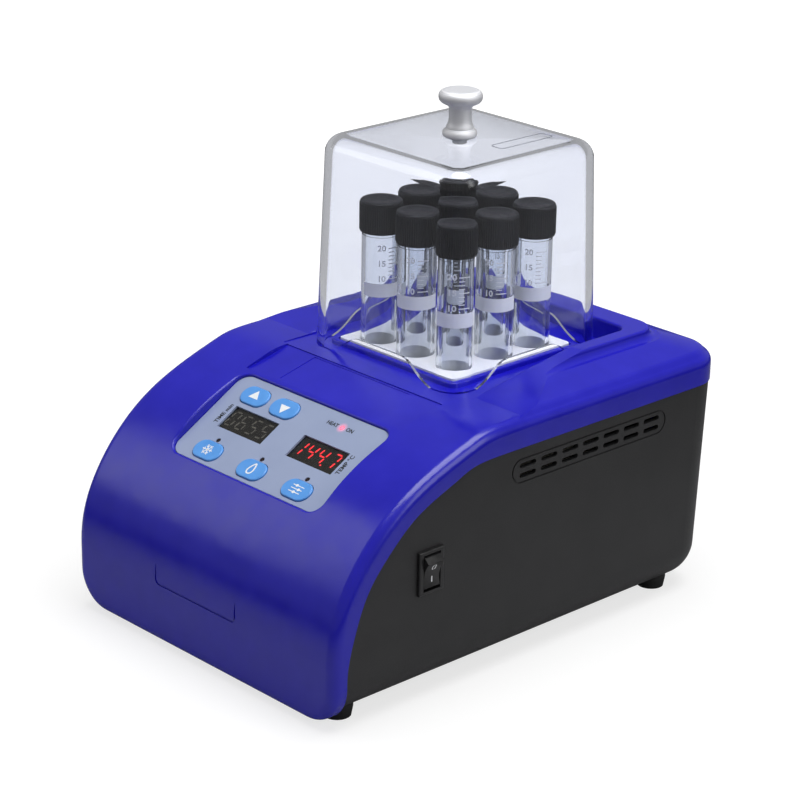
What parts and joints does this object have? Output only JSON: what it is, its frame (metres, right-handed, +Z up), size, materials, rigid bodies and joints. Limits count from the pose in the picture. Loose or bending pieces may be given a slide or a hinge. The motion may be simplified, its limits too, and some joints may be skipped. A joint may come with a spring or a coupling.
{
  "type": "digestion block",
  "caption": "Bench digestion block with a moulded sloping cover, key panel, heated well block, capped glass tubes and a clear lift-off hood with a turned knob.",
  "frame": {"origin": "on the bench plane under the feet, below the middle of the whole outline, which the rocker on the right side carries 2 mm past the cover's plane of symmetry", "axes": "+X to the right hand of a person at the key panel, +Y from the panel's front to the rear wall, +Z up"},
  "size_m": [0.188, 0.256, 0.2474],
  "materials": {
    "cover_blue": "satin-gloss moulded ABS, deep blue",
    "tub_black": "fine-grained moulded ABS, black",
    "foot_rubber": "matt moulded rubber, black",
    "screw_steel": "zinc-plated steel",
    "panel_film": "printed polyester film, grey-blue",
    "key_blue": "domed polyester key, light blue",
    "filter_dark": "smoked acrylic",
    "display_red": "seven-segment module, red lit",
    "led_lens": "tinted epoxy lens",
    "board_green": "solder mask on glass-fibre board",
    "switch_black": "moulded nylon, black",
    "inlet_black": "moulded nylon, black",
    "block_aluminium": "machined",
    "plate_white": "white baked enamel, satin",
    "insulation": "pressed ceramic-fibre board",
    "steel": "drawn stainless steel",
    "clear_acrylic": "clear moulded acrylic",
    "knob_aluminium": "turned, fine satin",
    "tube_glass": "clear borosilicate glass",
    "cap_black": "ribbed polypropylene, black",
    "liner_white": "PTFE-faced silicone"
  },
  "bodies": {
    "housing": {"base_shell": "tub_black", "block_bracket": "steel", "block_top_plate": "plate_white", "control_board": "board_green", "display_board": "board_green", "display_filter": "filter_dark", "foot_front_left": "foot_rubber", "foot_front_right": "foot_rubber", "foot_rear_left": "foot_rubber", "foot_rear_right": "foot_rubber", "foot_screws": "screw_steel", "heater_block": "block_aluminium", "heater_cartridge_left": "steel", "heater_cartridge_right": "steel", "indicator_leds": "led_lens", "inlet_socket": "inlet_black", "insulation_jacket": "insulation", "keypad_overlay": "panel_film", "switch_housing": "switch_black", "temperature_display": "display_red", "temperature_sensor": "steel", "timer_display": "display_red", "top_cover": "cover_blue", "tube_1": "tube_glass", "tube_2": "tube_glass", "tube_3": "tube_glass", "tube_4": "tube_glass", "tube_5": "tube_glass", "tube_6": "tube_glass", "tube_7": "tube_glass", "tube_8": "tube_glass", "tube_9": "tube_glass"},
    "hood_lid": {"hood": "clear_acrylic", "hood_knob": "knob_aluminium", "knob_screw": "screw_steel"},
    "power_rocker": {"switch_rocker": "switch_black"},
    "fuse_tray": {"fuse_drawer": "inlet_black"},
    "key_cool_cap": {"key_cool": "key_blue"},
    "key_custom_cap": {"key_custom": "key_blue"},
    "key_digest_cap": {"key_digest": "key_blue"},
    "key_down_cap": {"key_down": "key_blue"},
    "key_up_cap": {"key_up": "key_blue"},
    "seal_1": {"liner_1": "liner_white"},
    "screw_cap_1": {"cap_1": "cap_black"},
    "seal_2": {"liner_2": "liner_white"},
    "screw_cap_2": {"cap_2": "cap_black"},
    "seal_3": {"liner_3": "liner_white"},
    "screw_cap_3": {"cap_3": "cap_black"},
    "seal_4": {"liner_4": "liner_white"},
    "screw_cap_4": {"cap_4": "cap_black"},
    "seal_5": {"liner_5": "liner_white"},
    "screw_cap_5": {"cap_5": "cap_black"},
    "seal_6": {"liner_6": "liner_white"},
    "screw_cap_6": {"cap_6": "cap_black"},
    "seal_7": {"liner_7": "liner_white"},
    "screw_cap_7": {"cap_7": "cap_black"},
    "seal_8": {"liner_8": "liner_white"},
    "screw_cap_8": {"cap_8": "cap_black"},
    "seal_9": {"liner_9": "liner_white"},
    "screw_cap_9": {"cap_9": "cap_black"}
  },
  "joints": [
    {"name": "hood_lift", "type": "slide", "parent": "housing", "child": "hood_lid", "axis": [0, 0, 1], "range_m": [0, 0.12]},
    {"name": "switch_rock", "type": "hinge", "parent": "housing", "child": "power_rocker", "pos_m": [0.08837, -0.0703, 0.0634], "axis": [0, -1, 0], "range_deg": [0, 24]},
    {"name": "fuse_slide", "type": "slide", "parent": "housing", "child": "fuse_tray", "axis": [0, 0.9984, -0.0558], "range_m": [0, 0.018]},
    {"name": "key_cool_press", "type": "slide", "parent": "housing", "child": "key_cool_cap", "axis": [0, 0.4977, -0.8674], "range_m": [0, 0.0004], "stiffness_N_per_m": 1500, "springref_m": -0.0002},
    {"name": "key_custom_press", "type": "slide", "parent": "housing", "child": "key_custom_cap", "axis": [0, 0.4977, -0.8674], "range_m": [0, 0.0004], "stiffness_N_per_m": 1500, "springref_m": -0.0002},
    {"name": "key_digest_press", "type": "slide", "parent": "housing", "child": "key_digest_cap", "axis": [0, 0.4977, -0.8674], "range_m": [0, 0.0004], "stiffness_N_per_m": 1500, "springref_m": -0.0002},
    {"name": "key_down_press", "type": "slide", "parent": "housing", "child": "key_down_cap", "axis": [0, 0.4977, -0.8674], "range_m": [0, 0.0004], "stiffness_N_per_m": 1500, "springref_m": -0.0002},
    {"name": "key_up_press", "type": "slide", "parent": "housing", "child": "key_up_cap", "axis": [0, 0.4977, -0.8674], "range_m": [0, 0.0004], "stiffness_N_per_m": 1500, "springref_m": -0.0002},
    {"name": "cap_1_rise", "type": "slide", "parent": "housing", "child": "seal_1", "axis": [0, 0, 1], "range_m": [0, 0.0045]},
    {"name": "cap_1_turn", "type": "hinge", "parent": "seal_1", "child": "screw_cap_1", "pos_m": [-0.02713, 0.0074, 0.19], "axis": [0, 0, 1], "range_deg": [0, 540]},
    {"name": "cap_2_rise", "type": "slide", "parent": "housing", "child": "seal_2", "axis": [0, 0, 1], "range_m": [0, 0.0045]},
    {"name": "cap_2_turn", "type": "hinge", "parent": "seal_2", "child": "screw_cap_2", "pos_m": [-0.00203, 0.0074, 0.19], "axis": [0, 0, 1], "range_deg": [0, 540]},
    {"name": "cap_3_rise", "type": "slide", "parent": "housing", "child": "seal_3", "axis": [0, 0, 1], "range_m": [0, 0.0045]},
    {"name": "cap_3_turn", "type": "hinge", "parent": "seal_3", "child": "screw_cap_3", "pos_m": [0.02307, 0.0074, 0.19], "axis": [0, 0, 1], "range_deg": [0, 540]},
    {"name": "cap_4_rise", "type": "slide", "parent": "housing", "child": "seal_4", "axis": [0, 0, 1], "range_m": [0, 0.0045]},
    {"name": "cap_4_turn", "type": "hinge", "parent": "seal_4", "child": "screw_cap_4", "pos_m": [-0.02713, 0.0325, 0.19], "axis": [0, 0, 1], "range_deg": [0, 540]},
    {"name": "cap_5_rise", "type": "slide", "parent": "housing", "child": "seal_5", "axis": [0, 0, 1], "range_m": [0, 0.0045]},
    {"name": "cap_5_turn", "type": "hinge", "parent": "seal_5", "child": "screw_cap_5", "pos_m": [-0.00203, 0.0325, 0.19], "axis": [0, 0, 1], "range_deg": [0, 540]},
    {"name": "cap_6_rise", "type": "slide", "parent": "housing", "child": "seal_6", "axis": [0, 0, 1], "range_m": [0, 0.0045]},
    {"name": "cap_6_turn", "type": "hinge", "parent": "seal_6", "child": "screw_cap_6", "pos_m": [0.02307, 0.0325, 0.19], "axis": [0, 0, 1], "range_deg": [0, 540]},
    {"name": "cap_7_rise", "type": "slide", "parent": "housing", "child": "seal_7", "axis": [0, 0, 1], "range_m": [0, 0.0045]},
    {"name": "cap_7_turn", "type": "hinge", "parent": "seal_7", "child": "screw_cap_7", "pos_m": [-0.02713, 0.0576, 0.19], "axis": [0, 0, 1], "range_deg": [0, 540]},
    {"name": "cap_8_rise", "type": "slide", "parent": "housing", "child": "seal_8", "axis": [0, 0, 1], "range_m": [0, 0.0045]},
    {"name": "cap_8_turn", "type": "hinge", "parent": "seal_8", "child": "screw_cap_8", "pos_m": [-0.00203, 0.0576, 0.19], "axis": [0, 0, 1], "range_deg": [0, 540]},
    {"name": "cap_9_rise", "type": "slide", "parent": "housing", "child": "seal_9", "axis": [0, 0, 1], "range_m": [0, 0.0045]},
    {"name": "cap_9_turn", "type": "hinge", "parent": "seal_9", "child": "screw_cap_9", "pos_m": [0.02307, 0.0576, 0.19], "axis": [0, 0, 1], "range_deg": [0, 540]}
  ],
  "couplings": [
    {"joint": "cap_1_turn", "follows": "cap_1_rise", "rad_per_m": 2094.4},
    {"joint": "cap_2_turn", "follows": "cap_2_rise", "rad_per_m": 2094.4},
    {"joint": "cap_3_turn", "follows": "cap_3_rise", "rad_per_m": 2094.4},
    {"joint": "cap_4_turn", "follows": "cap_4_rise", "rad_per_m": 2094.4},
    {"joint": "cap_5_turn", "follows": "cap_5_rise", "rad_per_m": 2094.4},
    {"joint": "cap_6_turn", "follows": "cap_6_rise", "rad_per_m": 2094.4},
    {"joint": "cap_7_turn", "follows": "cap_7_rise", "rad_per_m": 2094.4},
    {"joint": "cap_8_turn", "follows": "cap_8_rise", "rad_per_m": 2094.4},
    {"joint": "cap_9_turn", "follows": "cap_9_rise", "rad_per_m": 2094.4}
  ]
}
